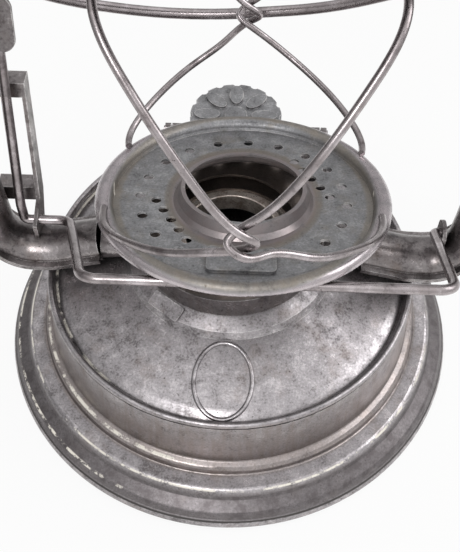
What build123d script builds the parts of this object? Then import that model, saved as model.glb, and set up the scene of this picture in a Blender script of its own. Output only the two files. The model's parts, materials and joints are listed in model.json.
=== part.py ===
from build123d import *
import os
from math import sin, cos, tan, atan2, radians, hypot, sqrt

# Small tubular oil lantern. Millimetres, +Z up, origin at the centre of the foot on the ground.
# The front, with the lift wire's crossbar, faces -Y, and the lever stands at the left, at -X.

os.makedirs("parts", exist_ok=True)

# Sheet, wire and clearances
sheet = 0.8            # tinned steel sheet
thin_sheet = 0.6       # pressed tube halves and small tabs
seat_gap = 0.1         # between fitted pieces that don't move
run_gap = 0.06         # radial, pin in its hole
free_gap = 0.35        # between pieces that move past each other

# Tank and foot
foot_r = 64.0
foot_roll_r = 2.4
foot_flat = 0.12       # the roll is worn flat where it stands
foot_turn_w = 0.8      # outwards and upwards, where the skirt turns down into the roll
foot_turn_h = 1.0
foot_turn_z = 5.52
skirt_out_r = 58.3
skirt_top_z = 7.6
skirt_bead_r = 57.2
skirt_bead_z = 10.0
groove_r = 52.7
groove_rise = 0.4       # of the groove above the skirt's bead
wall_bead_r = 52.3
wall_bead_z = 12.6
wall_foot_r = 50.2
wall_foot_z = 13.4
body_bends = [1.4, 0.5, 1.2, 0.8, 1.5, 1.0]
wall_top_r = 49.0
shoulder_z = 29.6
shoulder_bead_r = 0.9
dome_edge_w = 1.4       # from the wall's inside to where the dome starts
dome_rim_z = 29.4
dome_shoulder_w = 2.6
dome_shoulder_h = 1.4
dome_shoulder_fillet = 3.0
dome_top_z = 36.6
step_r = 27.4
step_lean = 1.0         # the step's wall leans outwards by this
step_z = 38.4
plateau_r = 23.0
plateau_z = 40.6
tank_mouth_r = 15.4
neck_tab_turn = 233.0  # degrees round from the right
neck_tab_w = 9.4
neck_tab_h = 4.0
neck_tab_share = 0.66   # down the step's slope
neck_tab_lift = 0.2
floor_z = 16.4
floor_lip = 2.6

# Burner collar
collar_bore_r = 12.0
collar_wall = 2.2
collar_flange_r = 17.0
collar_top_z = 45.0

# Filler neck and cap
filler_y = 40.5
filler_bore_r = 5.6
filler_neck_wall = 1.0
filler_neck_top_z = 43.0
filler_neck_depth = 6.0
cap_r = 13.2
cap_top_z = 47.8
cap_skirt_h = 6.2
cap_scallops = 16
cap_scallop_r = 1.3
cap_scallop_out = 0.65  # from the cap's edge to a scallop's centre
cap_petals = 8
cap_petal_w = 2.0
cap_petal_h = 0.7
cap_boss_r = 3.2
gasket_h = 1.2

# Air chamber and its horns
chamber_r = 24.4
chamber_h = 6.4
horn_root_x = 18.0
horn_root_w = 9.5
horn_root_h = 1.7
horn_rise = 1.2         # of the root's centre above the drum's middle
horn_tip_z = 40.0

# Side tubes, right-hand route in the X-Z plane
tube_start_x = 34.0
tube_low_x = 47.0
tube_low_z = 36.4
tube_foot_x = 61.5
tube_mid_x = 65.0
tube_mid_z = 105.0
tube_high_x = 63.0
tube_high_z = 165.0
tube_shoulder_x = 52.0
tube_end_z = 198.0
tube_half_w = 6.3
tube_half_d = 4.9
tube_flange = 1.8
tube_flange_t = 0.6
tube_seam = 0.03        # half the gap between the folded halves
tube_bends = [20.0, 10.0, 120.0, 60.0, 16.0]

# Globe plate, in its own frame: centre of the rolled rim
plate_lift = 13.6      # degrees that the raised plate leans back
plate_r = 37.0
plate_x = 3.0           # the old plate stands a little to the right
plate_closed_y = -1.0
plate_closed_z = 50.5
plate_recess_r = 32.4
plate_crest_r = 34.9
plate_crest_z = 1.1
plate_edge_z = -1.2
plate_recess = 1.6
plate_roll_in = 0.3     # the rim's roll ends this far outside and above the recess's corner
plate_hole_r = 14.6
plate_collar_r = 17.6
plate_collar_h = 2.0
plate_collar_turn = 1.0  # width of the turns at the collar's foot and mouth
plate_collar_foot = 1.2
perf_r = 1.3
perf_ring_r = 25.9
perf_count = 17
perf_pitch = 18.4      # degrees
perf_start = -59.0
inner_perf_y = 19.9
inner_perf_pitch = 4.45
inner_perf_count = 5
inner_perf_turn = 29.0
pad_w = 16.0
pad_y = 24.8
pad_len = 8.8
pad_h = 0.9
pad_corner = 1.2

# Hinge at the back of the plate
hinge_y = 35.4
hinge_z = 46.5
hinge_x = 19.6
hinge_knuckle_r = 1.5
hinge_pin_r = 0.75
hinge_pin_fit = 0.01
hinge_knuckle_w = 2.6
hinge_arm_w = 1.6
hinge_bed_start_y = 12.0
hinge_bed_z = 44.4
hinge_bed_h = 2.4
hinge_bed_y = 31.0
hinge_bed_over = 2.0    # how far the bed's underside runs on behind its top
leaf_y = 22.0
leaf_t = 0.8

# Lift wire: one bent wire with a lever, an axis, two crank legs and a crossbar
lift_wire_r = 1.25
lift_axis_y = 1.5
lift_axis_z = 45.2
crossbar_plate_y = -30.0
crossbar_drop = 3.75
lift_bend = 4.0
lift_corner = 1.4
crossbar_bend = 5.0
crossbar_left_x = -33.4
crossbar_right_x = 52.0
lever_x = 54.4
lever_lean = 19.0
lever_len = 58.0
lever_foot = 6.0       # upright part above the axis
tab_w = 9.0
tab_h = 13.0
leg_left_x = 42.5
leg_right_x = 53.2
axis_end_x = 56.2
pivot_eye_x = 55.9

# Latch bracket and pivot bracket
web_x = 51.6
web_w = 4.6
strap_y = 5.6
strap_slope = 0.27
web_t = 1.0
band_low_z = 47.6
band_h = 3.6
band_top_z = 80.0
eye_r = 3.4

# Wire guard, in the plate's frame
guard_wire_r = 0.9
guard_r = 46.5
guard_knot = 1.1       # half the radial distance between two crossing wires
guard_cross_w = 3.0    # half the width of the crossing
guard_top_z = 68.0
guard_ring_r = 31.0
guard_ring_wire_r = 1.1

# Crown, hood and chimney
crown_r = 36.0
crown_z = 189.0
crown_h = 18.0
crown_fillet = 3.0
crown_lid_h = 8.0
crown_lid_skirt = 3.0
crown_lid_over = 1.2    # the lid's outside beyond the drum
lid_collar_w = 4.0
lid_collar_h = 1.0
chimney_r = 15.5
hood_z = 143.0
hood_rim_r = 30.5
hood_h = 17.0
hood_skirt_h = 3.0
hood_turn_w = 6.0       # inwards and upwards, from the rim to where the cone starts
hood_turn_h = 6.0
hood_lap = 2.0          # the chimney reaches this far into the hood
chimney_top_z = 236.0
slot_count = 10
slot_w = 4.0
slot_h = 8.0
slot_below = 4.0        # from the chimney's top edge to the slots
rain_cap_r = 27.0
rain_cap_h = 10.0
rain_top_r = 4.0
rain_brim_w = 3.0
rain_brim_z = 1.6       # where the brim starts, above the chimney
rain_drip = 2.6         # the brim hangs this far below the chimney's top
rain_under_w = 3.6      # the same corners on the underside
rain_under_z = 0.8
rain_socket_w = 1.0
rain_socket_h = 3.6
rain_throat = 3.0
ring_eye_h = 5.0
ring_eye_w = 8.0
ring_eye_t = 2.0
lifting_ring_r = 11.0
lifting_wire_r = 1.1
ring_rest = 15.0       # degrees that the ring lies below level

# Bail and its ears
bail_wire_r = 1.5
bail_pivot_z = 172.0
bail_leg_x = 73.5
bail_behind = 11.1     # behind the guard where the bail rests
bail_rest_z = 70.6
bail_low_x = -15.0     # the old bail is bent a little to one side
bail_sag = 5.6
bail_left_rise = 24.0
bail_left_x = 50.0
bail_left_drop = 3.0
bail_right_x = 25.0
bail_right_drop = 3.4
bail_turn_x = 61.0
bail_turn_drop = 28.0
bail_right_rise = 58.0
bail_corner = 3.0
bail_left_bend = 20.0
bail_arc = 60.0
bail_low_arc = 80.0
ear_w = 11.0
ear_t = 1.5
ear_gap = 2.4
ear_foot = 2.4
ear_inset = 1.0         # the foot is narrower than the ear by this at each side
bail_end = 0.8         # the wire stands this far through the ear

# Worked out from the sizes above
dome_rim_r = wall_top_r - dome_edge_w
dome_top_r = step_r + step_lean
lift = radians(plate_lift)
hinge_arm = hinge_y - plate_closed_y
hinge_drop = plate_closed_z - hinge_z
plate_y = hinge_y - hinge_arm * cos(lift) + hinge_drop * sin(lift)
plate_z = hinge_z + hinge_arm * sin(lift) + hinge_drop * cos(lift)
plate_centre = (plate_x, plate_y, plate_z)
plate_plane = Plane(origin=plate_centre, x_dir=(1, 0, 0), z_dir=(0, sin(lift), cos(lift)))
plate_side = Plane(origin=plate_centre, x_dir=(1, 0, 0), z_dir=(0, -cos(lift), sin(lift)))
plate_axis = Axis(plate_centre, (0, sin(lift), cos(lift)))


def on_plate(x, y, z):
    """A point of the plate's frame in the lantern's frame."""
    return (x, plate_y + y * cos(lift) + z * sin(lift), plate_z - y * sin(lift) + z * cos(lift))


def bent_wire(points, bends, radius, plane=Plane.XY):
    """One round wire along straight runs and tangent arcs."""
    with BuildPart() as wire:
        with BuildLine(plane) as route:
            FilletPolyline(*points, radius=bends)
        with BuildSketch(Plane(origin=route.line @ 0, z_dir=route.line % 0)):
            Circle(radius)
        sweep(path=route.line)
    return wire


def save(piece, name):
    piece.part.label = name
    export_step(piece.part, "parts/" + name + ".step")


# Tank body: the wall, two beads, the flared skirt and the rolled foot, in one sheet
with BuildPart() as tank_body:
    with BuildSketch(Plane.XZ):
        with BuildLine():
            FilletPolyline(
                (wall_top_r, shoulder_z),
                (wall_foot_r, wall_foot_z),
                (wall_bead_r, wall_bead_z),
                (groove_r, skirt_bead_z + groove_rise),
                (skirt_bead_r, skirt_bead_z),
                (skirt_out_r, skirt_top_z),
                (foot_r - foot_roll_r, foot_turn_z),
                (foot_r - foot_roll_r + foot_turn_w, foot_roll_r + foot_turn_h),
                radius=body_bends,
            )
            offset(amount=sheet, side=Side.LEFT, closed=True)
        make_face()
        with Locations((foot_r - foot_roll_r, foot_roll_r - foot_flat)):
            Circle(foot_roll_r)
    revolve(axis=Axis.Z)
    split(bisect_by=Plane.XY, keep=Keep.TOP)
save(tank_body, "tank_body")

# Tank top: a domed shoulder with a rolled edge, stepped up to the plateau that carries the burner
with BuildPart() as tank_top:
    with BuildSketch(Plane.XZ):
        with BuildLine():
            FilletPolyline(
                (dome_rim_r, dome_rim_z),
                (dome_rim_r - dome_shoulder_w, dome_rim_z + dome_shoulder_h),
                (dome_top_r, dome_top_z),
                radius=dome_shoulder_fillet,
            )
            Polyline(
                (dome_top_r, dome_top_z),
                (step_r, step_z),
                (plateau_r, plateau_z),
                (tank_mouth_r, plateau_z),
                (tank_mouth_r, plateau_z - sheet),
                (plateau_r - sheet / 2, plateau_z - sheet),
                (step_r - sheet, step_z - sheet / 2),
                (dome_top_r - sheet, dome_top_z - sheet),
            )
            FilletPolyline(
                (dome_top_r - sheet, dome_top_z - sheet),
                (dome_rim_r - dome_shoulder_w - sheet / 2, dome_rim_z + dome_shoulder_h - sheet),
                (dome_rim_r - sheet / 2, dome_rim_z - sheet),
                radius=dome_shoulder_fillet,
            )
            Polyline(
                (dome_rim_r - sheet / 2, dome_rim_z - sheet),
                (wall_top_r - seat_gap - sheet, shoulder_z - 3 * sheet),
                (wall_top_r - seat_gap, shoulder_z - 3 * sheet),
                (wall_top_r - seat_gap, shoulder_z + shoulder_bead_r),
                (dome_rim_r, dome_rim_z),
            )
        make_face()
        with Locations((wall_top_r, shoulder_z + seat_gap + shoulder_bead_r)):
            Circle(shoulder_bead_r)
    revolve(axis=Axis.Z)
    with Locations((0, filler_y, 0)):
        Cylinder(
            filler_bore_r + filler_neck_wall + seat_gap,
            plateau_z,
            align=(Align.CENTER, Align.CENTER, Align.MIN),
            mode=Mode.SUBTRACT,
        )
save(tank_top, "tank_top")

# Neck tab: a small tongue on the step at the left of the front
step_slope = atan2(plateau_z - step_z, plateau_r - step_r)
tab_turn = radians(neck_tab_turn)
tab_r = plateau_r + (step_r - plateau_r) * neck_tab_share
tab_at_z = plateau_z + (step_z - plateau_z) * neck_tab_share + neck_tab_lift
neck_tab_plane = Plane(
    origin=(tab_r * cos(tab_turn), tab_r * sin(tab_turn), tab_at_z),
    x_dir=(-sin(tab_turn), cos(tab_turn), 0),
    z_dir=(sin(step_slope) * cos(tab_turn), sin(step_slope) * sin(tab_turn), -cos(step_slope)),
)
with BuildPart() as neck_tab:
    with BuildSketch(neck_tab_plane):
        RectangleRounded(neck_tab_w, neck_tab_h, thin_sheet)
    extrude(amount=thin_sheet)
save(neck_tab, "neck_tab")

# Tank floor: a dished disc pressed into the wall from below
with BuildPart() as tank_floor:
    with BuildSketch(Plane.XY.offset(floor_z)):
        Circle(wall_foot_r - 3 * seat_gap)
    extrude(amount=-floor_lip)
    offset(amount=-sheet, openings=tank_floor.faces().sort_by(Axis.Z)[0])
save(tank_floor, "tank_floor")

# Burner collar: the threaded seat of the burner, on the plateau
with BuildPart() as burner_collar:
    with BuildSketch(Plane.XY.offset(plateau_z)):
        Circle(collar_flange_r)
        Circle(collar_bore_r, mode=Mode.SUBTRACT)
    extrude(amount=sheet)
    with BuildSketch(Plane.XY.offset(plateau_z - sheet)):
        Circle(collar_bore_r + collar_wall)
        Circle(collar_bore_r, mode=Mode.SUBTRACT)
    extrude(amount=collar_top_z - plateau_z + sheet)
    fillet(burner_collar.edges().group_by(Axis.Z)[-1], sheet / 2)
save(burner_collar, "burner_collar")

# Filler neck
filler_neck_r = filler_bore_r + filler_neck_wall
dome_slope = (dome_top_z - dome_rim_z) / (dome_rim_r - dome_top_r)
dome_at_filler = dome_rim_z + (dome_rim_r - filler_y) * dome_slope
with BuildPart() as filler_neck:
    with BuildSketch(Plane.XY.offset(dome_at_filler - filler_neck_depth)):
        with Locations((0, filler_y)):
            Circle(filler_neck_r)
            Circle(filler_bore_r, mode=Mode.SUBTRACT)
    extrude(amount=filler_neck_top_z - dome_at_filler + filler_neck_depth)
save(filler_neck, "filler_neck")

# Filler cap: a scalloped cup with petals round a boss
with BuildPart() as filler_cap:
    with BuildSketch(Plane.XY.offset(cap_top_z - cap_petal_h - cap_skirt_h)):
        with Locations((0, filler_y)):
            Circle(cap_r)
            with PolarLocations(cap_r + cap_scallop_out, cap_scallops):
                Circle(cap_scallop_r, mode=Mode.SUBTRACT)
    extrude(amount=cap_skirt_h)
    with BuildSketch(Plane.XY.offset(cap_top_z - cap_petal_h - cap_skirt_h)):
        with Locations((0, filler_y)):
            Circle(filler_neck_r + free_gap)
    extrude(amount=filler_neck_top_z + gasket_h - (cap_top_z - cap_petal_h - cap_skirt_h), mode=Mode.SUBTRACT)
    with BuildSketch(Plane.XY.offset(cap_top_z - cap_petal_h)):
        with Locations((0, filler_y)):
            with PolarLocations((cap_r + cap_boss_r) / 2, cap_petals):
                Ellipse((cap_r - cap_boss_r) / 2 - cap_scallop_r, cap_petal_w)
            Circle(cap_boss_r)
    extrude(amount=cap_petal_h)
save(filler_cap, "filler_cap")

# Gasket between the neck and the cap
with BuildPart() as cap_gasket:
    with BuildSketch(Plane.XY.offset(filler_neck_top_z + seat_gap)):
        with Locations((0, filler_y)):
            Circle(filler_neck_r)
            Circle(filler_bore_r, mode=Mode.SUBTRACT)
    extrude(amount=gasket_h - seat_gap)
save(cap_gasket, "cap_gasket")

# Air chamber: a drum on the plateau with a horn to each side tube
chamber_z = plateau_z + sheet + seat_gap
horn_root_z = chamber_z + chamber_h / 2 + horn_rise
with BuildPart() as air_chamber:
    for side in (-1, 1):
        root = Plane(origin=(side * horn_root_x, 0, horn_root_z), x_dir=(0, 1, 0), z_dir=(1, 0, 0))
        tip = Plane(origin=(side * tube_start_x, 0, horn_tip_z), x_dir=(0, 1, 0), z_dir=(1, 0, 0))
        with BuildSketch(root):
            Ellipse(horn_root_w, horn_root_h + sheet)
        with BuildSketch(tip):
            Ellipse(tube_half_w - tube_flange_t, tube_half_d - tube_flange_t)
        loft()
    with BuildSketch(Plane.XY.offset(chamber_z)):
        Circle(chamber_r)
    extrude(amount=chamber_h)
    with BuildSketch(Plane.XY.offset(chamber_z + sheet)):
        Circle(chamber_r - sheet)
    extrude(amount=chamber_h - 2 * sheet, mode=Mode.SUBTRACT)
    for side in (-1, 1):
        root = Plane(origin=(side * horn_root_x, 0, horn_root_z), x_dir=(0, 1, 0), z_dir=(1, 0, 0))
        tip = Plane(origin=(side * tube_start_x, 0, horn_tip_z), x_dir=(0, 1, 0), z_dir=(1, 0, 0))
        with BuildSketch(root):
            Ellipse(horn_root_w - sheet, horn_root_h)
        with BuildSketch(tip):
            Ellipse(tube_half_w - tube_flange_t - sheet, tube_half_d - tube_flange_t - sheet)
        loft(mode=Mode.SUBTRACT)
    with BuildSketch(Plane.XY.offset(chamber_z)):
        Circle(collar_flange_r + seat_gap)
    extrude(amount=chamber_h, mode=Mode.SUBTRACT)
save(air_chamber, "air_chamber")

# Hinge brackets: a bed on the chamber's back on each side, with two lugs that hold the hinge pin
hinge_in_w = hinge_knuckle_w + 2 * free_gap
lug_w = hinge_in_w + 2 * hinge_arm_w
for side, name in ((-1, "left"), (1, "right")):
    with BuildPart() as hinge_bracket:
        with BuildSketch(Plane.YZ.offset(plate_x + side * hinge_x)):
            with BuildLine():
                Polyline(
                    (hinge_bed_start_y, hinge_bed_z - hinge_bed_h),
                    (hinge_bed_start_y, hinge_bed_z),
                    (hinge_bed_y, hinge_bed_z),
                    (hinge_y - hinge_knuckle_r, hinge_z),
                    (hinge_y + hinge_knuckle_r, hinge_z),
                    (hinge_bed_y + hinge_bed_over, hinge_bed_z - hinge_bed_h),
                    close=True,
                )
            make_face()
            with Locations((hinge_y, hinge_z)):
                Circle(hinge_knuckle_r)
        extrude(amount=lug_w / 2, both=True)
        with BuildSketch(Plane.YZ.offset(plate_x + side * hinge_x)):
            with Locations((hinge_bed_y, hinge_bed_z)):
                Rectangle(hinge_y, hinge_y, align=(Align.MIN, Align.MIN))
            with Locations((hinge_y, hinge_z)):
                Circle(hinge_knuckle_r + free_gap)
        extrude(amount=hinge_in_w / 2, both=True, mode=Mode.SUBTRACT)
        with BuildSketch(Plane.YZ.offset(plate_x + side * hinge_x)):
            with Locations((hinge_y, hinge_z)):
                Circle(hinge_pin_r)
        extrude(amount=lug_w, both=True, mode=Mode.SUBTRACT)
        with BuildSketch(Plane.XY.offset(chamber_z)):
            Circle(chamber_r + seat_gap)
        extrude(amount=2 * chamber_h, mode=Mode.SUBTRACT)
    save(hinge_bracket, "hinge_bracket_" + name)

# Hinge pins, held in the lugs
with BuildPart() as hinge_pins:
    for side in (-1, 1):
        with BuildSketch(Plane.YZ.offset(plate_x + side * hinge_x)):
            with Locations((hinge_y, hinge_z)):
                Circle(hinge_pin_r - hinge_pin_fit)
        extrude(amount=lug_w / 2 + sheet / 2, both=True)
save(hinge_pins, "hinge_pins")

# Side tubes: two pressed halves each, flanged and folded together along both edges
tube_route = [
    (tube_start_x + seat_gap, horn_tip_z),
    (tube_low_x, tube_low_z),
    (tube_foot_x, tube_low_z),
    (tube_mid_x, tube_mid_z),
    (tube_high_x, tube_high_z),
    (tube_shoulder_x, tube_end_z),
    (crown_r + seat_gap, tube_end_z),
]


def tube_half(side):
    """The half on the inner side of the bend (1) or on the outer side (-1), on the right-hand tube."""
    with BuildPart() as half:
        with BuildLine(Plane.XZ) as route:
            FilletPolyline(*tube_route, radius=tube_bends)
        with BuildSketch(Plane(origin=route.line @ 0, x_dir=(0, 1, 0), z_dir=route.line % 0)):
            Ellipse(tube_half_w, tube_half_d)
            with Locations((0, side * tube_flange_t / 2)):
                Rectangle(2 * (tube_half_w + tube_flange), tube_flange_t)
            Ellipse(tube_half_w - tube_flange_t, tube_half_d - tube_flange_t, mode=Mode.SUBTRACT)
            with Locations((0, side * (tube_half_w + tube_seam))):
                Rectangle(4 * tube_half_w, 2 * tube_half_w, mode=Mode.INTERSECT)
        sweep(path=route.line)
    return half


for side, name in ((1, "inner"), (-1, "outer")):
    right_half = tube_half(side)
    save(right_half, "right_tube_" + name)
    with BuildPart() as left_half:
        mirror(right_half.part, about=Plane.YZ)
    save(left_half, "left_tube_" + name)

# The outside of the right tube with its flanges, taken off whatever is seated on it
with BuildPart() as tube_outside:
    with BuildLine(Plane.XZ) as route:
        FilletPolyline(*tube_route, radius=tube_bends)
    with BuildSketch(Plane(origin=route.line @ 0, x_dir=(0, 1, 0), z_dir=route.line % 0)):
        Ellipse(tube_half_w + seat_gap, tube_half_d + seat_gap)
        Rectangle(2 * (tube_half_w + tube_flange + seat_gap), 2 * (tube_flange_t + seat_gap))
    sweep(path=route.line)

# Latch bracket: a strap folded out from the left tube behind the lever
lean = tan(radians(lever_lean))
lever_foot_z = lift_axis_z + lever_foot


def lever_y(z):
    return lift_axis_y + (z - lever_foot_z) * lean


def strap_front(z):
    return strap_y + (z - lift_axis_z) * strap_slope


with BuildPart() as latch_bracket:
    with BuildSketch(Plane.YZ.offset(-web_x)):
        with BuildLine():
            Polyline(
                (lift_axis_y - eye_r, tube_low_z + tube_half_d / 2),
                (lift_axis_y - eye_r, lift_axis_z + web_t),
                (strap_front(band_low_z), band_low_z + web_t),
                (strap_front(band_top_z), band_top_z),
                (strap_front(band_top_z) + web_w, band_top_z),
                (strap_front(band_low_z) + web_w, band_low_z),
                (lift_axis_y + eye_r, tube_low_z + tube_half_d / 2),
                close=True,
            )
        make_face()
    extrude(amount=web_t)
    for low_z in (band_low_z, band_top_z - band_h):
        with BuildSketch(Plane.YZ.offset(-web_x)):
            with BuildLine():
                Polyline(
                    (strap_front(low_z), low_z),
                    (strap_front(low_z + band_h), low_z + band_h),
                    (strap_front(low_z + band_h) + web_w, low_z + band_h),
                    (strap_front(low_z) + web_w, low_z),
                    close=True,
                )
            make_face()
        extrude(amount=-(tube_foot_x - web_x))
    with BuildSketch(Plane.YZ.offset(-web_x)):
        with Locations((lift_axis_y, lift_axis_z)):
            Circle(lift_wire_r + run_gap)
    extrude(amount=web_t, mode=Mode.SUBTRACT)
    add(mirror(tube_outside.part, about=Plane.YZ, mode=Mode.PRIVATE), mode=Mode.SUBTRACT)
save(latch_bracket, "latch_bracket")

# Pivot bracket: a small eye on the right tube for the far end of the lift wire
with BuildPart() as pivot_bracket:
    with BuildSketch(Plane.YZ.offset(pivot_eye_x)):
        with Locations((lift_axis_y, lift_axis_z)):
            Circle(eye_r)
        with Locations((lift_axis_y, tube_low_z)):
            Rectangle(2 * eye_r, lift_axis_z - tube_low_z, align=(Align.CENTER, Align.MIN))
        with Locations((lift_axis_y, lift_axis_z)):
            Circle(lift_wire_r + run_gap, mode=Mode.SUBTRACT)
    extrude(amount=-web_t)
    add(tube_outside.part, mode=Mode.SUBTRACT)
save(pivot_bracket, "pivot_bracket")

# Lift wire
crossbar = on_plate(0, crossbar_plate_y, -crossbar_drop)
lever_top_z = lift_axis_z + lever_len
lift_route = [
    (-lever_x, lever_y(lever_top_z), lever_top_z),
    (-lever_x, lever_y(lever_foot_z), lever_foot_z),
    (-lever_x, lift_axis_y, lift_axis_z),
    (-leg_left_x, lift_axis_y, lift_axis_z),
    (crossbar_left_x, crossbar[1], crossbar[2]),
    (crossbar_right_x, crossbar[1], crossbar[2]),
    (leg_right_x, lift_axis_y, lift_axis_z),
    (axis_end_x, lift_axis_y, lift_axis_z),
]
lift_bends = [lever_foot, lift_corner, lift_bend, crossbar_bend, lift_bend, lift_corner]
lift_wire = bent_wire(lift_route, lift_bends, lift_wire_r)
save(lift_wire, "lift_wire")

# Thumb tab, folded round the lever's top
tab_z = lever_top_z - tab_h / 2
tab_lean = radians(lever_lean)
tab_front = lift_wire_r + seat_gap
tab_plane = Plane(
    origin=(-lever_x, lever_y(tab_z) - tab_front * cos(tab_lean), tab_z + tab_front * sin(tab_lean)),
    x_dir=(1, 0, 0),
    z_dir=(0, -cos(tab_lean), sin(tab_lean)),
)
with BuildPart() as thumb_tab:
    with BuildSketch(tab_plane):
        RectangleRounded(tab_w, tab_h, tab_w / 3)
    extrude(amount=web_t)
    with BuildSketch(tab_plane):
        for side in (-1, 1):
            with Locations((side * (lift_wire_r + seat_gap + thin_sheet / 2), 0)):
                Rectangle(thin_sheet, tab_h / 2)
    extrude(amount=-2 * lift_wire_r)
save(thumb_tab, "thumb_tab")

# Globe plate: rolled rim, recessed disc with air holes, and the collar that the burner looks through
with BuildPart() as globe_plate:
    with BuildSketch(plate_side):
        with BuildLine():
            ThreePointArc(
                (plate_r, plate_edge_z),
                (plate_crest_r, plate_crest_z),
                (plate_recess_r + plate_roll_in, plate_edge_z + plate_roll_in),
            )
            Polyline(
                (plate_recess_r + plate_roll_in, plate_edge_z + plate_roll_in),
                (plate_recess_r, -plate_recess),
                (plate_collar_r, -plate_recess),
                (plate_collar_r - plate_collar_turn, -plate_recess + plate_collar_foot),
                (plate_hole_r + plate_collar_turn, plate_collar_h),
                (plate_hole_r, plate_collar_h),
            )
            offset(amount=thin_sheet, side=Side.LEFT, closed=True)
        make_face()
        with Locations((plate_r - thin_sheet, plate_edge_z)):
            Circle(thin_sheet)
    revolve(axis=plate_axis)
    with BuildSketch(plate_plane.offset(-3 * plate_recess)):
        with PolarLocations(
            perf_ring_r, perf_count, start_angle=perf_start,
            angular_range=(perf_count - 1) * perf_pitch, endpoint=True,
        ):
            Circle(perf_r)
        with PolarLocations(inner_perf_y, 2, start_angle=inner_perf_turn):
            with GridLocations(inner_perf_pitch, inner_perf_pitch, 1, inner_perf_count):
                Circle(perf_r)
    extrude(amount=4 * plate_recess, mode=Mode.SUBTRACT)
save(globe_plate, "globe_plate")

# Front pad that is spot-welded to the plate in front of the collar
with BuildPart() as plate_pad:
    with BuildSketch(plate_plane.offset(-plate_recess + seat_gap)):
        with Locations((0, -pad_y)):
            RectangleRounded(pad_w, pad_len, pad_corner)
    extrude(amount=pad_h)
save(plate_pad, "plate_pad")

# Hinge leaves: two straps under the plate that end in the knuckles behind its rim
leaf_plane = Plane(origin=plate_centre, x_dir=(0, cos(lift), -sin(lift)), z_dir=(1, 0, 0))
leaf_z = -plate_recess - thin_sheet - seat_gap
knuckle_z = -hinge_drop
with BuildPart() as hinge_leaves:
    for side in (-1, 1):
        with BuildSketch(leaf_plane.offset(side * hinge_x)):
            with BuildLine():
                Polyline(
                    (leaf_y, leaf_z),
                    (hinge_arm - 2 * hinge_knuckle_r, leaf_z),
                    (hinge_arm, knuckle_z),
                    (hinge_arm + leaf_t, knuckle_z - hinge_knuckle_r / 2),
                    (hinge_arm - 2 * hinge_knuckle_r + leaf_t, leaf_z - leaf_t),
                    (leaf_y, leaf_z - leaf_t),
                    close=True,
                )
            make_face()
            with Locations((hinge_arm, knuckle_z)):
                Circle(hinge_knuckle_r)
                Circle(hinge_pin_r + run_gap, mode=Mode.SUBTRACT)
        extrude(amount=hinge_knuckle_w / 2, both=True)
save(hinge_leaves, "hinge_leaves")

# Guard wires, each as distance sideways, distance from the plate's axis and height above the plate
guard_out = guard_r + guard_knot
guard_in = guard_r - guard_knot
guard_tip_z = plate_crest_z + guard_wire_r + seat_gap
guard_head = ((21.0, guard_ring_r, guard_top_z), (26.2, 37.0, 67.2), (27.6, 43.0, 63.6))
guard_front = (
    (21.6, guard_r, 52.2), (9.5, guard_out - 0.3, 34.6), (2.4, guard_out, 25.8), (-0.7, guard_out, 23.4),
    (-2.8, guard_r, 21.0), (-0.4, guard_in, 18.7), (5.6, guard_in - 1.0, 16.6), (14.5, 42.6, 12.8),
    (23.3, 40.2, 8.8), (29.6, 38.2, 5.2), (32.6, 36.4, 2.9), (33.2, plate_crest_r, guard_tip_z),
)
guard_back = (
    (21.0, guard_r, 54.2), (9.5, guard_out - 0.3, 38.8), (2.4, guard_out, 30.6), (-0.7, guard_out, 28.3),
    (-2.8, guard_r, 26.0), (-0.4, guard_in, 23.8), (6.5, guard_in - 1.0, 19.4), (15.0, 43.4, 13.8),
    (23.6, 41.4, 8.4), (28.8, 39.2, 4.8), (30.8, 37.2, 2.8), (30.6, plate_crest_r, guard_tip_z),
)


def guard_point(side, front, x, r, z):
    """A stop of a guard wire. In the crossing, one wire of each pair passes outside and the other inside."""
    crossing = abs(x) < guard_cross_w
    passing_r = 2 * guard_r - r if crossing and side * front > 0 else r
    return (side * x, -front * sqrt(passing_r ** 2 - x ** 2), z)


for front, name, run in ((1, "front", guard_front), (-1, "back", guard_back)):
    for side, hand in ((-1, "left"), (1, "right")):
        with BuildPart() as guard:
            with BuildLine(plate_plane) as route:
                Spline([guard_point(side, front, *stop) for stop in guard_head + run])
            with BuildSketch(Plane(origin=route.line @ 0, z_dir=route.line % 0)):
                Circle(guard_wire_r)
            sweep(path=route.line)
        save(guard, "guard_wire_" + name + "_" + hand)

# Guard ring that joins the tops of the four wires
with BuildPart() as guard_ring:
    with BuildSketch(plate_side):
        with Locations((guard_ring_r, guard_top_z + guard_wire_r + guard_ring_wire_r + seat_gap)):
            Circle(guard_ring_wire_r)
    revolve(axis=plate_axis)
save(guard_ring, "guard_ring")

# Crown: the upper air chamber that the tubes run into
with BuildPart() as crown:
    with BuildSketch(Plane.XY.offset(crown_z)):
        Circle(crown_r)
    extrude(amount=crown_h)
    fillet(crown.edges().group_by(Axis.Z)[0], crown_fillet)
    offset(amount=-sheet, openings=crown.faces().sort_by(Axis.Z)[-1])
    with BuildSketch(Plane.XY.offset(crown_z)):
        Circle(chimney_r + free_gap)
    extrude(amount=sheet, mode=Mode.SUBTRACT)
    for side in (-1, 1):
        with BuildSketch(Plane.YZ.offset(side * (crown_r - 3 * sheet))):
            with Locations((0, tube_end_z)):
                Ellipse(tube_half_w - tube_flange_t, tube_half_d - tube_flange_t)
        extrude(amount=side * 3 * sheet, mode=Mode.SUBTRACT)
save(crown, "crown")

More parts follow.
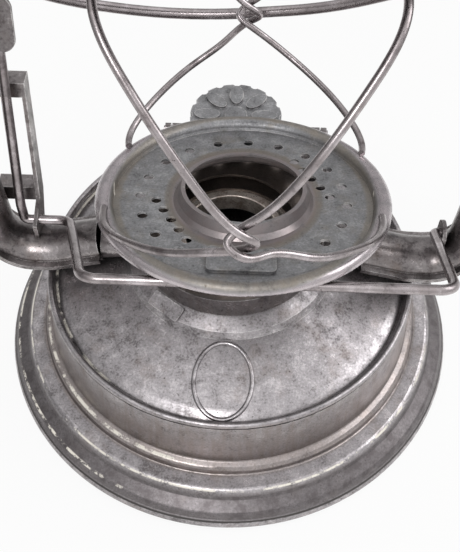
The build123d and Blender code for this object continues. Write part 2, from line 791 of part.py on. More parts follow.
# Crown lid: a coned cover with a collar round the chimney
with BuildPart() as crown_lid:
    with BuildSketch(Plane.XZ):
        with BuildLine():
            lid_z = crown_z + crown_h + seat_gap
            Polyline(
                (crown_r + crown_lid_over, lid_z - crown_lid_skirt),
                (crown_r + crown_lid_over, lid_z + sheet),
                (chimney_r + lid_collar_w, lid_z + crown_lid_h),
                (chimney_r + free_gap, lid_z + crown_lid_h + lid_collar_h),
                (chimney_r + free_gap, lid_z + crown_lid_h + lid_collar_h - sheet),
                (chimney_r + lid_collar_w, lid_z + crown_lid_h - sheet),
                (crown_r + seat_gap, lid_z),
                (crown_r + seat_gap, lid_z - crown_lid_skirt),
                close=True,
            )
        make_face()
    revolve(axis=Axis.Z)
save(crown_lid, "crown_lid")

# Hood: the cone over the globe, carried by the chimney tube that slides in the crown
with BuildPart() as hood:
    with BuildSketch(Plane.XZ):
        with BuildLine():
            Polyline(
                (hood_rim_r, hood_z),
                (hood_rim_r, hood_z + hood_skirt_h),
                (hood_rim_r - hood_turn_w, hood_z + hood_turn_h),
                (chimney_r + sheet + seat_gap, hood_z + hood_h),
            )
            offset(amount=sheet, side=Side.LEFT, closed=True)
        make_face()
    revolve(axis=Axis.Z)
save(hood, "hood")

with BuildPart() as chimney:
    with BuildSketch(Plane.XY.offset(hood_z + hood_h - hood_lap)):
        Circle(chimney_r)
        Circle(chimney_r - sheet, mode=Mode.SUBTRACT)
    extrude(amount=chimney_top_z - hood_z - hood_h + hood_lap)
    with BuildSketch(Plane.XY.offset(chimney_top_z - slot_h - slot_below)):
        with PolarLocations(chimney_r, slot_count):
            Rectangle(4 * sheet, slot_w)
    extrude(amount=slot_h, mode=Mode.SUBTRACT)
save(chimney, "chimney")

# Rain cap on the chimney's top
with BuildPart() as rain_cap:
    with BuildSketch(Plane.XZ):
        with BuildLine():
            cap_z = chimney_top_z + seat_gap
            Polyline(
                (0, cap_z + rain_cap_h),
                (rain_top_r, cap_z + rain_cap_h),
                (rain_cap_r - rain_brim_w, cap_z + rain_brim_z),
                (rain_cap_r, cap_z - rain_drip),
                (rain_cap_r - sheet, cap_z - rain_drip),
                (rain_cap_r - rain_under_w, cap_z + rain_under_z),
                (chimney_r + rain_socket_w, cap_z + rain_socket_h),
                (chimney_r + rain_socket_w, cap_z),
                (chimney_r - rain_throat, cap_z),
                (chimney_r - rain_throat, cap_z + rain_cap_h / 2),
                (rain_top_r, cap_z + rain_cap_h - sheet),
                (0, cap_z + rain_cap_h - sheet),
                close=True,
            )
        make_face()
    revolve(axis=Axis.Z)
    with BuildSketch(Plane.XZ):
        with Locations((0, cap_z + rain_cap_h + ring_eye_h / 2)):
            RectangleRounded(ring_eye_w, ring_eye_h + web_t, ring_eye_h / 2)
    extrude(amount=ring_eye_t / 2, both=True)
    with BuildSketch(Plane.XZ):
        with Locations((0, cap_z + rain_cap_h + ring_eye_h / 2)):
            Circle(lifting_wire_r + free_gap)
    extrude(amount=ring_eye_t, both=True, mode=Mode.SUBTRACT)
save(rain_cap, "rain_cap")

# Lifting ring, threaded through the eye and lying over to one side
ring_z = chimney_top_z + seat_gap + rain_cap_h + ring_eye_h / 2
ring_lean = radians(ring_rest)
ring_plane = Plane(
    origin=(0, 0, ring_z),
    x_dir=(cos(ring_lean), 0, -sin(ring_lean)),
    z_dir=(sin(ring_lean), 0, cos(ring_lean)),
)
with BuildPart(ring_plane) as lifting_ring:
    with Locations((lifting_ring_r, 0)):
        Torus(lifting_ring_r, lifting_wire_r)
save(lifting_ring, "lifting_ring")

# Ears of the bail, on the outside of each tube
tube_slope = (tube_high_x - tube_shoulder_x) / (tube_end_z - tube_high_z)
tube_at_ear_x = tube_high_x - (bail_pivot_z - tube_high_z) * tube_slope
ear_x = tube_at_ear_x + tube_half_d + ear_gap
with BuildPart() as right_ear:
    with BuildSketch(Plane.YZ.offset(ear_x)):
        with Locations((0, bail_pivot_z)):
            RectangleRounded(ear_w, ear_w, ear_w / 4)
            Circle(bail_wire_r + run_gap, mode=Mode.SUBTRACT)
    extrude(amount=ear_t)
    with BuildSketch(Plane.YZ.offset(ear_x)):
        with Locations((0, bail_pivot_z - ear_w / 2 + ear_foot / 2)):
            Rectangle(ear_w - 2 * ear_inset, ear_foot)
    extrude(amount=-tube_half_d)
    add(tube_outside.part, mode=Mode.SUBTRACT)
save(right_ear, "bail_ear_right")
with BuildPart() as left_ear:
    mirror(right_ear.part, about=Plane.YZ)
save(left_ear, "bail_ear_left")

# Bail, hanging behind the guard
bail_rest_y = guard_r + bail_behind
bail_fall = hypot(bail_rest_y, bail_pivot_z - bail_rest_z)
bail_plane = Plane(
    origin=(0, 0, bail_pivot_z),
    x_dir=(1, 0, 0),
    z_dir=(0, (bail_pivot_z - bail_rest_z) / bail_fall, bail_rest_y / bail_fall),
)
bail_points = [
    (-ear_x + bail_end, 0),
    (-bail_leg_x, 0),
    (-bail_leg_x, bail_fall - bail_left_rise),
    (-bail_left_x, bail_fall - bail_left_drop),
    (bail_low_x, bail_fall + bail_sag),
    (bail_right_x, bail_fall - bail_right_drop),
    (bail_turn_x, bail_fall - bail_turn_drop),
    (bail_leg_x, bail_fall - bail_right_rise),
    (bail_leg_x, 0),
    (ear_x - bail_end, 0),
]
bail_bends = [
    bail_corner, bail_left_bend, bail_arc, bail_low_arc,
    bail_arc, bail_arc, bail_arc, bail_corner,
]
bail = bent_wire(bail_points, bail_bends, bail_wire_r, bail_plane)
save(bail, "bail")
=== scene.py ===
import json
import math

import bpy
from mathutils import Matrix, Vector


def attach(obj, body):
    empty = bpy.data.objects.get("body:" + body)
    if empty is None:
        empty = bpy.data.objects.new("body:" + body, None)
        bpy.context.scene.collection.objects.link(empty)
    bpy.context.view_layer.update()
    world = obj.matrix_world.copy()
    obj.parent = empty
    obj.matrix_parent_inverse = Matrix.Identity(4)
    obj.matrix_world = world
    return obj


# Small tubular oil lantern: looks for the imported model. Metres, +Z up, front towards -Y.

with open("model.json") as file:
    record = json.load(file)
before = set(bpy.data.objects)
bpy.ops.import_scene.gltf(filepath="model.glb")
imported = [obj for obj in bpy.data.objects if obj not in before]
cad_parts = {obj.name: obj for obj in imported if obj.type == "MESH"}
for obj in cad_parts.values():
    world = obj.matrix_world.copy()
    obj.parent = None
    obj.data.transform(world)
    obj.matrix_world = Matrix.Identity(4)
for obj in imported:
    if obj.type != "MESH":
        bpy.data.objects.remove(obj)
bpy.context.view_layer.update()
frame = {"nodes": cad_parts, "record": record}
nodes = frame["nodes"]
scene = bpy.context.scene
print("frame loaded:", len(nodes), "nodes")


def linear(hexColor):
    # sRGB hex to linear RGBA
    channels = [int(hexColor[i:i + 2], 16) / 255 for i in (1, 3, 5)]
    return tuple(c / 12.92 if c <= 0.04045 else ((c + 0.055) / 1.055) ** 2.4 for c in channels) + (1.0,)


def addNode(tree, kind, place, values=None, **settings):
    # settings are properties, values are sockets, and a node as value is linked from its first live output
    node = tree.nodes.new(kind)
    node.location = place
    for key, value in settings.items():
        setattr(node, key, value)
    for key, value in (values or {}).items():
        if isinstance(value, bpy.types.Node):
            value = next(output for output in value.outputs if output.enabled)
        if isinstance(value, bpy.types.NodeSocket):
            tree.links.new(value, node.inputs[key])
        else:
            node.inputs[key].default_value = value
    return node


# Camera: seen from in front and above, fitted to the circles of the foot, tank and plate
cameraLook = {
    "place": (0.00313, -0.14291, 0.22388),
    "pitch": -54.11,
    "yaw": -0.77,
    "roll": 1.27,
    "focalPx": 872.4,
    "center": (234.7, 272.4),
    "size": (460, 552),
    "sensorMm": 36.0,
    "clip": (0.01, 20.0),
}
cameraData = bpy.data.cameras.new("photoCamera")
camera = bpy.data.objects.new("photoCamera", cameraData)
scene.collection.objects.link(camera)
pitch, yaw, roll = (math.radians(cameraLook[key]) for key in ("pitch", "yaw", "roll"))
forward = Vector((math.sin(yaw) * math.cos(pitch), math.cos(yaw) * math.cos(pitch), math.sin(pitch)))
right = Vector((math.cos(yaw), -math.sin(yaw), 0.0))
up = right.cross(forward)
rolledRight = right * math.cos(roll) + up * math.sin(roll)
rolledUp = up * math.cos(roll) - right * math.sin(roll)
camera.matrix_world = Matrix.Translation(cameraLook["place"]) @ Matrix(
    (rolledRight, rolledUp, -forward)
).transposed().to_4x4()
width, height = cameraLook["size"]
cameraData.sensor_fit = "HORIZONTAL"
cameraData.sensor_width = cameraLook["sensorMm"]
cameraData.lens = cameraLook["focalPx"] * cameraLook["sensorMm"] / width
cameraData.shift_x = -(cameraLook["center"][0] - width / 2) / width
cameraData.shift_y = (cameraLook["center"][1] - height / 2) / width
cameraData.clip_start, cameraData.clip_end = cameraLook["clip"]
scene.camera = camera
scene.view_settings.view_transform = "Standard"
print("camera set")

# World: a light tent that is brighter above and at the right, and white where the camera sees it
tent = {
    "top": 1.34,
    "right": 0.80,
    "left": 0.30,
    "back": 0.50,
    "front": 1.00,
    "blend": 0.1,      # half the width of the change from side to side
    "seen": 0.972,
}
world = bpy.data.worlds.new("lightTent")
scene.world = world
world.use_nodes = True
tree = world.node_tree
tree.nodes.clear()
direction = addNode(tree, "ShaderNodeTexCoord", (-1400, 0)).outputs["Generated"]
squares = addNode(
    tree, "ShaderNodeVectorMath", (-1200, 200), {0: direction, 1: direction}, operation="MULTIPLY"
)
squareParts = addNode(tree, "ShaderNodeSeparateXYZ", (-1000, 200), {0: squares})
parts = addNode(tree, "ShaderNodeSeparateXYZ", (-1200, -200), {0: direction})
sideways = addNode(
    tree, "ShaderNodeMapRange", (-1000, -100),
    {"Value": parts.outputs["X"], "From Min": -tent["blend"], "From Max": tent["blend"],
     "To Min": tent["left"], "To Max": tent["right"]},
)
lengthways = addNode(
    tree, "ShaderNodeMapRange", (-1000, -400),
    {"Value": parts.outputs["Y"], "From Min": -tent["blend"], "From Max": tent["blend"],
     "To Min": tent["front"], "To Max": tent["back"]},
)
glow = addNode(
    tree, "ShaderNodeMath", (-700, 200), {0: squareParts.outputs["X"], 1: sideways}, operation="MULTIPLY"
)
glow = addNode(
    tree, "ShaderNodeMath", (-500, 200), {0: squareParts.outputs["Y"], 1: lengthways, 2: glow},
    operation="MULTIPLY_ADD",
)
glow = addNode(
    tree, "ShaderNodeMath", (-300, 200), {0: squareParts.outputs["Z"], 1: tent["top"], 2: glow},
    operation="MULTIPLY_ADD",
)
rays = addNode(tree, "ShaderNodeLightPath", (-700, -200))
seen = addNode(
    tree, "ShaderNodeMath", (-500, -200),
    {0: rays.outputs["Is Camera Ray"], 1: rays.outputs["Is Transmission Ray"]}, operation="MAXIMUM",
)
strength = addNode(
    tree, "ShaderNodeMapRange", (-100, 0), {"Value": seen, "To Min": glow, "To Max": tent["seen"]}
)
background = addNode(
    tree, "ShaderNodeBackground", (100, 0), {"Color": linear("#ffffff"), "Strength": strength}
)
addNode(tree, "ShaderNodeOutputWorld", (300, 0), {"Surface": background})

# Floor: white card, drawn mostly by its own colour where the camera sees it
card = {
    "size": 1.0,
    "color": "#f1f1f0",
    "rough": 0.8,
    "seenColor": "#fbfbfb",
    "shadowShare": 0.06,
}
floorMesh = bpy.data.meshes.new("whiteCard")
half = card["size"] / 2
corners = [(-half, -half, 0), (half, -half, 0), (half, half, 0), (-half, half, 0)]
floorMesh.from_pydata(corners, [], [(0, 1, 2, 3)])
floor = bpy.data.objects.new("whiteCard", floorMesh)
scene.collection.objects.link(floor)
floorMaterial = bpy.data.materials.new("white card, matt")
floorMaterial.use_nodes = True
tree = floorMaterial.node_tree
tree.nodes.clear()
rays = addNode(tree, "ShaderNodeLightPath", (-600, 200))
seen = addNode(
    tree, "ShaderNodeMath", (-400, 200),
    {0: rays.outputs["Is Camera Ray"], 1: rays.outputs["Is Transmission Ray"]}, operation="MAXIMUM",
)
share = addNode(
    tree, "ShaderNodeMath", (-200, 200), {0: seen, 1: 1.0 - card["shadowShare"]}, operation="MULTIPLY"
)
paper = addNode(
    tree, "ShaderNodeBsdfPrincipled", (-200, 0), {"Base Color": linear(card["color"]), "Roughness": card["rough"]}
)
shine = addNode(tree, "ShaderNodeEmission", (-200, -400), {"Color": linear(card["seenColor"])})
blend = addNode(tree, "ShaderNodeMixShader", (0, 0), {0: share, 1: paper, 2: shine})
addNode(tree, "ShaderNodeOutputMaterial", (200, 0), {"Surface": blend})
floorMesh.materials.append(floorMaterial)

# Lamps: two soft squares, the smaller one gives the glints on wires and edges
lamps = {
    "glintLamp": {"place": (-0.14, -0.46, 0.60), "energy": 1.8, "size": 0.24},
    "softLamp": {"place": (0.55, 0.05, 0.50), "energy": 1.8, "size": 0.45},
}
lampTarget = Vector((0, 0, 0.05))
for lampName, lamp in lamps.items():
    lampData = bpy.data.lights.new(lampName, "AREA")
    lampData.energy = lamp["energy"]
    lampData.shape = "SQUARE"
    lampData.size = lamp["size"]
    lampObject = bpy.data.objects.new(lampName, lampData)
    lampObject.location = lamp["place"]
    aim = lampTarget - Vector(lamp["place"])
    lampObject.rotation_euler = aim.to_track_quat("-Z", "Y").to_euler()
    scene.collection.objects.link(lampObject)
print("studio set")

# Aged tin coating on steel: dull grey with a fine grain, brown stains, crevices darkened by grime and painted
# shade, bright rubbed edges that are partly a painted highlight, and the pale broken crust that old solder and
# zinc leave along the beads
patternMm = {
    "patch": 28.0,
    "mottle": 3.6,
    "grain": 0.55,      # the real grain is finer, this is as fine as shows
    "stain": 8.0,
    "pit": 1.1,
    "streak": 1.3,
    "crust": 8.0,
    "edge": 0.35,
    "crevice": 2.5,
    "dent": 17.0,
    "ripple": 3.2,
}
noiseLook = {           # detail and roughness of each noise
    "patch": (3.0, 0.5),
    "mottle": (8.0, 0.65),
    "grain": (3.0, 0.7),
    "stain": (9.0, 0.7),
    "pit": (4.0, 0.7),
    "crust": (9.0, 0.8),
    "dent": (2.0, 0.5),
    "ripple": (5.0, 0.6),
}
maskSpan = {            # the value where each mask starts and the one where it is full
    "steep": (0.5, 0.1),
    "streak": (0.45, 0.65),
    "stain": (0.5, 0.7),
    "pit": (0.36, 0.28),
    "crevice": (0.85, 0.35),
    "edge": (0.99, 0.90),
    "rubbedAndGlint": (0.40, 0.55),
    "patchy": (0.25, 0.6),
    "crust": (0.48, 0.53),
}
bumpMm = {"dent": 0.16, "ripple": 0.03, "grain": 0.006}
tinLook = {
    "toneSpan": 0.26,       # of the tone's noise, from the middle to the darkest and the lightest colour
    "glossSpan": 0.25,
    "streakStretch": (1.0, 1.0, 0.08),
    "streakDetail": 4.0,
    "pitShare": 0.8,
    "zoneSoft": 0.0004,     # metres, as is the fade
    "zoneLeast": 0.35,
    "fade": 0.01,
}


def addCircles(tree, look, coords, noises, color, gloss):
    # circles round the piece's own axis: zones of another tone, dark seams and pale crust
    placed = addNode(
        tree, "ShaderNodeMapping", (-2400, -1200),
        {"Vector": coords, "Location": look["center"], "Rotation": (math.radians(look["tilt"]), 0, 0)},
        vector_type="TEXTURE",
    )
    axes = addNode(tree, "ShaderNodeSeparateXYZ", (-2200, -1200), {0: placed})
    flat = addNode(tree, "ShaderNodeCombineXYZ", (-2000, -1200), {0: axes.outputs["X"], 1: axes.outputs["Y"]})
    around = addNode(tree, "ShaderNodeVectorMath", (-1800, -1200), {0: flat}, operation="LENGTH")
    patchyShare = addNode(
        tree, "ShaderNodeMapRange", (-1800, -900),
        {"Value": noises["mottle"], "From Min": maskSpan["patchy"][0], "From Max": maskSpan["patchy"][1],
         "To Min": tinLook["zoneLeast"]},
    )
    for row, (inner, outer, hexColor, share, rough) in enumerate(look["zones"]):
        drop = -1400 - 350 * row
        rise = addNode(
            tree, "ShaderNodeMapRange", (-1600, drop),
            {"Value": around, "From Min": inner - tinLook["zoneSoft"], "From Max": inner + tinLook["zoneSoft"],
             "To Max": share},
        )
        fall = addNode(
            tree, "ShaderNodeMapRange", (-1600, drop - 150),
            {"Value": around, "From Min": outer + tinLook["zoneSoft"], "From Max": outer - tinLook["zoneSoft"]},
        )
        zone = addNode(tree, "ShaderNodeMath", (-1400, drop), {0: rise, 1: fall}, operation="MULTIPLY")
        zone = addNode(tree, "ShaderNodeMath", (-1200, drop), {0: zone, 1: patchyShare}, operation="MULTIPLY")
        color = addNode(
            tree, "ShaderNodeMix", (300 + 150 * row, 900), {0: zone, 6: color, 7: linear(hexColor)},
            data_type="RGBA",
        )
        gloss = addNode(tree, "ShaderNodeMix", (300 + 150 * row, 100), {0: zone, 2: gloss, 3: rough})
    metal = look["metal"]
    broken = addNode(
        tree, "ShaderNodeMapRange", (-1800, -1050),
        {"Value": noises["crust"], "From Min": maskSpan["crust"][0], "From Max": maskSpan["crust"][1]},
    )
    for kind, gaps in (("seam", 1.0), ("crust", broken)):
        if not look[kind + "Lines"]:
            continue
        lines = 0.0
        for row, (radius, level, breadth, reach) in enumerate(look[kind + "Lines"]):
            drop = -2600 - 250 * row
            here = addNode(tree, "ShaderNodeCombineXYZ", (-1600, drop), {0: around, 1: axes.outputs["Z"]})
            off = addNode(
                tree, "ShaderNodeVectorMath", (-1400, drop), {0: here, 1: (radius, level, 0.0)},
                operation="DISTANCE",
            )
            line = addNode(
                tree, "ShaderNodeMapRange", (-1200, drop),
                {"Value": off, "From Min": breadth, "From Max": breadth / 2},
            )
            until = addNode(
                tree, "ShaderNodeMapRange", (-1200, drop - 120),
                {"Value": axes.outputs["X"], "From Min": reach, "From Max": reach - tinLook["fade"]},
            )
            line = addNode(tree, "ShaderNodeMath", (-1000, drop), {0: line, 1: until}, operation="MULTIPLY")
            lines = addNode(tree, "ShaderNodeMath", (-800, drop), {0: line, 1: lines}, operation="MAXIMUM")
        lines = addNode(tree, "ShaderNodeMath", (-600, -2600), {0: lines, 1: gaps}, operation="MULTIPLY")
        color = addNode(
            tree, "ShaderNodeMix", (900, 900), {0: lines, 6: color, 7: linear(look[kind])}, data_type="RGBA"
        )
        metal = addNode(
            tree, "ShaderNodeMath", (900, 500), {0: metal, 1: lines}, operation="SUBTRACT", use_clamp=True
        )
    return color, gloss, metal


def agedTin(name, look):
    material = bpy.data.materials.new(name)
    material.use_nodes = True
    tree = material.node_tree
    tree.nodes.clear()
    coords = addNode(tree, "ShaderNodeTexCoord", (-2400, 0)).outputs["Object"]
    noises = {}
    for row, (key, (detail, rough)) in enumerate(noiseLook.items()):
        noises[key] = addNode(
            tree, "ShaderNodeTexNoise", (-2000, 800 - 220 * row),
            {"Vector": coords, "Scale": 1000.0 / patternMm[key], "Detail": detail, "Roughness": rough},
        )
    # tone of the tin: patches, mottling and grain together
    tone = addNode(
        tree, "ShaderNodeMath", (-1700, 800), {0: noises["patch"], 1: look["patchy"], 2: noises["mottle"]},
        operation="MULTIPLY_ADD",
    )
    tone = addNode(
        tree, "ShaderNodeMath", (-1500, 800), {0: noises["grain"], 1: look["grainy"], 2: tone},
        operation="MULTIPLY_ADD",
    )
    middle = 0.5 * (1.0 + look["patchy"] + look["grainy"])
    toMid = addNode(
        tree, "ShaderNodeMapRange", (-1300, 900),
        {"Value": tone, "From Min": middle - tinLook["toneSpan"], "From Max": middle},
        interpolation_type="SMOOTHSTEP",
    )
    toLight = addNode(
        tree, "ShaderNodeMapRange", (-1300, 700),
        {"Value": tone, "From Min": middle, "From Max": middle + tinLook["toneSpan"]},
        interpolation_type="SMOOTHSTEP",
    )
    color = addNode(
        tree, "ShaderNodeMix", (-1100, 800), {0: toMid, 6: linear(look["dark"]), 7: linear(look["mid"])},
        data_type="RGBA",
    )
    color = addNode(
        tree, "ShaderNodeMix", (-900, 800), {0: toLight, 6: color, 7: linear(look["light"])}, data_type="RGBA"
    )
    # upright streaks, on upright walls only
    stretched = addNode(
        tree, "ShaderNodeVectorMath", (-1700, 500), {0: coords, 1: tinLook["streakStretch"]},
        operation="MULTIPLY",
    )
    streaks = addNode(
        tree, "ShaderNodeTexNoise", (-1500, 500),
        {"Vector": stretched, "Scale": 1000.0 / patternMm["streak"], "Detail": tinLook["streakDetail"]},
    )
    facing = addNode(tree, "ShaderNodeNewGeometry", (-1900, 350)).outputs["Normal"]
    facingParts = addNode(tree, "ShaderNodeSeparateXYZ", (-1700, 350), {0: facing})
    facingUp = addNode(
        tree, "ShaderNodeMath", (-1600, 350), {0: facingParts.outputs["Z"]}, operation="ABSOLUTE"
    )
    steepness = addNode(
        tree, "ShaderNodeMapRange", (-1500, 300),
        {"Value": facingUp, "From Min": maskSpan["steep"][0], "From Max": maskSpan["steep"][1],
         "To Max": look["streaky"]},
    )
    streakMask = addNode(
        tree, "ShaderNodeMapRange", (-1300, 500),
        {"Value": streaks, "From Min": maskSpan["streak"][0], "From Max": maskSpan["streak"][1]},
    )
    streakShare = addNode(
        tree, "ShaderNodeMath", (-1100, 500), {0: streakMask, 1: steepness}, operation="MULTIPLY"
    )
    color = addNode(
        tree, "ShaderNodeMix", (-700, 800), {0: streakShare, 6: color, 7: linear(look["stain"])},
        data_type="RGBA",
    )
    # brown stains and dark pits
    stainShare = addNode(
        tree, "ShaderNodeMapRange", (-1300, 200),
        {"Value": noises["stain"], "From Min": maskSpan["stain"][0], "From Max": maskSpan["stain"][1],
         "To Max": look["stained"]},
        interpolation_type="SMOOTHSTEP",
    )
    color = addNode(
        tree, "ShaderNodeMix", (-500, 800), {0: stainShare, 6: color, 7: linear(look["stain"])},
        data_type="RGBA",
    )
    pitShare = addNode(
        tree, "ShaderNodeMapRange", (-1300, 0),
        {"Value": noises["pit"], "From Min": maskSpan["pit"][0], "From Max": maskSpan["pit"][1],
         "To Max": tinLook["pitShare"]},
    )
    color = addNode(
        tree, "ShaderNodeMix", (-300, 800), {0: pitShare, 6: color, 7: linear(look["grimeAndShade"])},
        data_type="RGBA",
    )
    # dirt and painted shade in the crevices: ambient occlusion darkens them towards the grime colour
    hollow = addNode(
        tree, "ShaderNodeAmbientOcclusion", (-1500, -200), {"Distance": patternMm["crevice"] / 1000}, samples=6
    ).outputs["AO"]
    dirtAndShadeMask = addNode(
        tree, "ShaderNodeMapRange", (-1300, -200),
        {"Value": hollow, "From Min": maskSpan["crevice"][0], "From Max": maskSpan["crevice"][1],
         "To Max": look["dirtAndShade"]},
    )
    color = addNode(
        tree, "ShaderNodeMix", (-100, 800), {0: dirtAndShadeMask, 6: color, 7: linear(look["grimeAndShade"])}, data_type="RGBA"
    )
    # rubbed edges, where the surface turns sharply: a bright colour that is partly real wear and partly a painted
    # highlight along the edges
    rounded = addNode(
        tree, "ShaderNodeBevel", (-1900, -400), {"Radius": patternMm["edge"] / 1000}, samples=4
    )
    turn = addNode(
        tree, "ShaderNodeVectorMath", (-1700, -400), {0: rounded, 1: facing}, operation="DOT_PRODUCT"
    )
    edge = addNode(
        tree, "ShaderNodeMapRange", (-1500, -400),
        {"Value": turn, "From Min": maskSpan["edge"][0], "From Max": maskSpan["edge"][1]},
    )
    rubbedAndGlintPatches = addNode(
        tree, "ShaderNodeMapRange", (-1500, -600),
        {"Value": noises["mottle"], "From Min": maskSpan["rubbedAndGlint"][0], "From Max": maskSpan["rubbedAndGlint"][1],
         "To Max": look["rubbedAndGlint"]},
    )
    wearAndGlintShare = addNode(tree, "ShaderNodeMath", (-1300, -400), {0: edge, 1: rubbedAndGlintPatches}, operation="MULTIPLY")
    color = addNode(
        tree, "ShaderNodeMix", (100, 800), {0: wearAndGlintShare, 6: color, 7: linear(look["bareAndGlint"])}, data_type="RGBA"
    )
    gloss = addNode(
        tree, "ShaderNodeMapRange", (300, 200),
        {"Value": tone, "From Min": middle - tinLook["glossSpan"], "From Max": middle + tinLook["glossSpan"],
         "To Min": look["roughHigh"], "To Max": look["roughLow"]},
    )
    metal = look["metal"]
    if look["zones"] or look["seamLines"] or look["crustLines"]:
        color, gloss, metal = addCircles(tree, look, coords, noises, color, gloss)
    normal = None
    for row, (key, depthMm) in enumerate(bumpMm.items()):
        bump = addNode(
            tree, "ShaderNodeBump", (100 + 200 * row, -200),
            {"Height": noises[key], "Strength": 1.0, "Distance": depthMm * look["uneven"] / 1000},
        )
        if normal:
            tree.links.new(normal, bump.inputs["Normal"])
        normal = bump.outputs["Normal"]
    surface = addNode(
        tree, "ShaderNodeBsdfPrincipled", (900, 400),
        {"Base Color": color, "Metallic": metal, "Roughness": gloss, "Normal": normal},
    )
    addNode(tree, "ShaderNodeOutputMaterial", (1200, 400), {"Surface": surface})
    return material


# Tank and foot: clouded grey sheen, streaked walls, brown by the lower bead, a darker skirt, pale crust.
# A zone is inner and outer radius, colour, share and roughness; a line is radius, height, half its width
# and how far to the right it reaches, in metres
tankTin = {
    # the grime colour darkens the pits, and through ambient occlusion it also darkens the crevices as painted
    # shade
    "light": "#bcb7b9", "mid": "#989496", "dark": "#6c6869", "stain": "#7d6f67", "grimeAndShade": "#322e2c",
    # the bare colour on sharp edges is partly real wear and partly a painted highlight
    "bareAndGlint": "#e0dddc", "crust": "#cfcac0", "seam": "#2b2725", "patchy": 0.45, "grainy": 0.8, "streaky": 0.4,
    "stained": 0.35, "dirtAndShade": 0.4, "rubbedAndGlint": 0.9, "roughLow": 0.25, "roughHigh": 0.44, "metal": 0.95,
    "uneven": 1.0, "center": (0.0, 0.0, 0.0), "tilt": 0.0,
    "zones": (
        (0.0500, 0.0540, "#7d716a", 0.6, 0.32),
        (0.0582, 0.0632, "#575253", 0.95, 0.44),
    ),
    "seamLines": (
        (0.0634, 0.0039, 0.0004, 0.080),
    ),
    "crustLines": (
        (0.0522, 0.0136, 0.0006, -0.004),
        (0.0576, 0.0104, 0.0004, 0.060),
        (0.0475, 0.0297, 0.0005, -0.022),
        (0.0618, 0.0063, 0.0005, -0.020),
    ),
}
# Tubes and brackets: darker and smoother, with sharper glints
darkTin = {
    **tankTin, "light": "#a49e9f", "mid": "#7e7979", "dark": "#544f50", "stain": "#68594f", "streaky": 0.2,
    "grainy": 0.6, "roughLow": 0.22, "roughHigh": 0.38, "dirtAndShade": 0.55,
    "zones": (), "seamLines": (), "crustLines": (),
}
# Air chamber: browned by the heat of the burner
chamberTin = {
    **darkTin, "rubbedAndGlint": 1.0, "zones": ((0.0, 0.0240, "#84776c", 0.6, 0.32),),
}
# Burner collar: pale colour with no crevice shade, painted light so that the collar deep in the dim hole reads
# bright
seatTin = {
    **darkTin, "light": "#dcd4cd", "mid": "#bfb5ad", "dark": "#8d8077", "dirtAndShade": 0.0, "metal": 0.7,
}
# Filler cap: the cool matt grey of zinc
capTin = {
    **darkTin, "light": "#a6a6a8", "mid": "#88888a", "dark": "#6a6a6c", "stain": "#7a7673", "dirtAndShade": 0.35,
    "roughLow": 0.34, "roughHigh": 0.50, "metal": 0.7,
}
# Globe plate: flat grey disc, shiny rim and collar, a tan ring beside each
plateTin = {
    **tankTin, "light": "#a1a1a3", "mid": "#878789", "dark": "#676769", "stain": "#80776b", "bareAndGlint": "#d2cfcd",
    "streaky": 0.0, "stained": 0.45, "rubbedAndGlint": 0.7, "roughLow": 0.36, "roughHigh": 0.54, "metal": 0.75,
    "uneven": 0.7, "center": (0.003, 0.00096, 0.0590), "tilt": 13.6,
    "zones": (
        (0.0332, 0.0400, "#b4abae", 0.9, 0.18),
        (0.0308, 0.0330, "#857b6d", 0.6, 0.50),
        (0.0130, 0.0186, "#8d8383", 0.9, 0.30),
        (0.0180, 0.0198, "#7b6f60", 0.6, 0.55),
    ),
    "seamLines": (),
    "crustLines": (
        (0.0326, -0.0014, 0.0004, 0.060),
        (0.0148, 0.0020, 0.0004, 0.060),
    ),
}
# Wires: drawn smooth, with long soft glints
wireTin = {
    **tankTin, "light": "#b9b2b4", "mid": "#979091", "dark": "#6d6667", "stain": "#7b6e67", "grainy": 0.2,
    "patchy": 0.8, "streaky": 0.0, "stained": 0.25, "rubbedAndGlint": 0.0, "roughLow": 0.20, "roughHigh": 0.36,
    "metal": 1.0, "uneven": 0.15, "zones": (), "seamLines": (), "crustLines": (),
}
# Gasket: dry brown cork without any shine
cork = {
    **tankTin, "light": "#7a684f", "mid": "#5f4e3a", "dark": "#46392b", "stain": "#3a2f24", "grainy": 1.2,
    "rubbedAndGlint": 0.0, "roughLow": 0.75, "roughHigh": 0.95, "metal": 0.0,
    "zones": (), "seamLines": (), "crustLines": (),
}
materials = {
    "worn_tinplate": agedTin("tinned steel, worn", tankTin),
    "tarnished_tinplate": agedTin("tinned steel, tarnished", darkTin),
    "plate_tinplate": agedTin("tinned steel, pressed plate", plateTin),
    "drawn_wire": agedTin("tinned steel wire, dull", wireTin),
    "cork_gasket": agedTin("cork, aged", cork),
}
for entry in frame["record"]["subparts"]:
    nodes[entry["node"]].data.materials[0] = materials[entry["material_slot"]]
nodes["air_chamber"].data.materials[0] = agedTin("tinned steel, tarnished, heat-browned inside", chamberTin)
# burner collar: lightened colour as painted light, since little light reaches it deep in the hole
nodes["burner_collar"].data.materials[0] = agedTin("tinned steel, inside, lightened as painted light", seatTin)
nodes["filler_cap"].data.materials[0] = agedTin("zinc-coated steel, matt grey", capTin)
print("materials set")

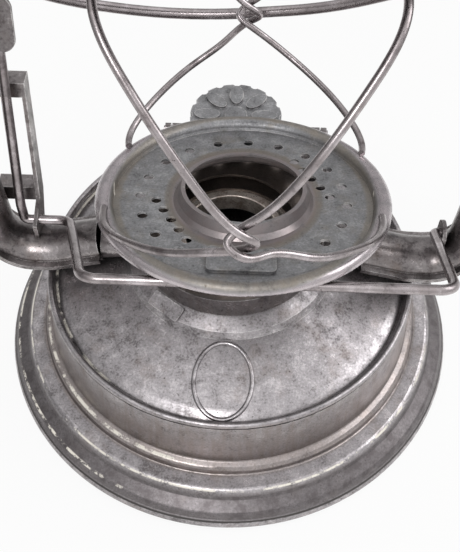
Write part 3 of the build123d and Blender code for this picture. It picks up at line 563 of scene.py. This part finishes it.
# Plain oval bead, pressed into the front of the dome
ovalBead = {
    "halfWidth": 0.0073,
    "halfHeight": 0.0096,
    "beadRadius": 0.0006,
    "place": (-0.0006, -0.0383, 0.0334),
    "slope": 19.4,
    "turn": -0.9,
    "stops": 96,           # points along the oval, and round its section
    "sectionStops": 14,
}
beadTree = bpy.data.node_groups.new("ovalBeadOnDome", "GeometryNodeTree")
beadSockets = {}
for key in ("halfWidth", "halfHeight", "beadRadius"):
    socket = beadTree.interface.new_socket(key, in_out="INPUT", socket_type="NodeSocketFloat")
    beadSockets[key] = socket.identifier
beadTree.interface.new_socket("Geometry", in_out="OUTPUT", socket_type="NodeSocketGeometry")
given = addNode(beadTree, "NodeGroupInput", (-1000, 0))
oval = addNode(
    beadTree, "GeometryNodeCurvePrimitiveCircle", (-800, 200), {"Resolution": ovalBead["stops"], "Radius": 1.0}
)
stretch = addNode(
    beadTree, "ShaderNodeCombineXYZ", (-800, 0),
    {0: given.outputs["halfWidth"], 1: given.outputs["halfHeight"], 2: 1.0},
)
laid = addNode(
    beadTree, "GeometryNodeTransform", (-600, 200),
    {"Geometry": oval, "Translation": ovalBead["place"], "Scale": stretch,
     "Rotation": (math.radians(ovalBead["slope"]), 0, math.radians(ovalBead["turn"]))},
)
dome = addNode(beadTree, "GeometryNodeObjectInfo", (-800, -300), {"Object": nodes["tank_top"]})
nearest = addNode(
    beadTree, "GeometryNodeProximity", (-600, -300), {0: dome.outputs["Geometry"]}, target_element="FACES"
)
onDome = addNode(
    beadTree, "GeometryNodeSetPosition", (-400, 200), {"Geometry": laid, "Position": nearest.outputs["Position"]}
)
section = addNode(
    beadTree, "GeometryNodeCurvePrimitiveCircle", (-400, -100),
    {"Resolution": ovalBead["sectionStops"], "Radius": given.outputs["beadRadius"]},
)
tube = addNode(beadTree, "GeometryNodeCurveToMesh", (-200, 200), {"Curve": onDome, "Profile Curve": section})
smooth = addNode(beadTree, "GeometryNodeSetShadeSmooth", (0, 200), {"Geometry": tube})
real = addNode(beadTree, "GeometryNodeRealizeInstances", (200, 200), {"Geometry": smooth})
finished = addNode(
    beadTree, "GeometryNodeSetMaterial", (400, 200), {"Geometry": real, "Material": materials["worn_tinplate"]}
)
addNode(beadTree, "NodeGroupOutput", (600, 200), {0: finished})

bead = bpy.data.objects.new("ovalBead", bpy.data.meshes.new("ovalBead"))
scene.collection.objects.link(bead)
modifier = bead.modifiers.new("ovalBeadOnDome", "NODES")
modifier.node_group = beadTree
for key, identifier in beadSockets.items():
    modifier[identifier] = ovalBead[key]
beadMesh = bpy.data.meshes.new_from_object(bead.evaluated_get(bpy.context.evaluated_depsgraph_get()))
bead.modifiers.clear()
bead.data = beadMesh
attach(bead, "frame")
print("oval bead set:", len(beadMesh.polygons), "faces")
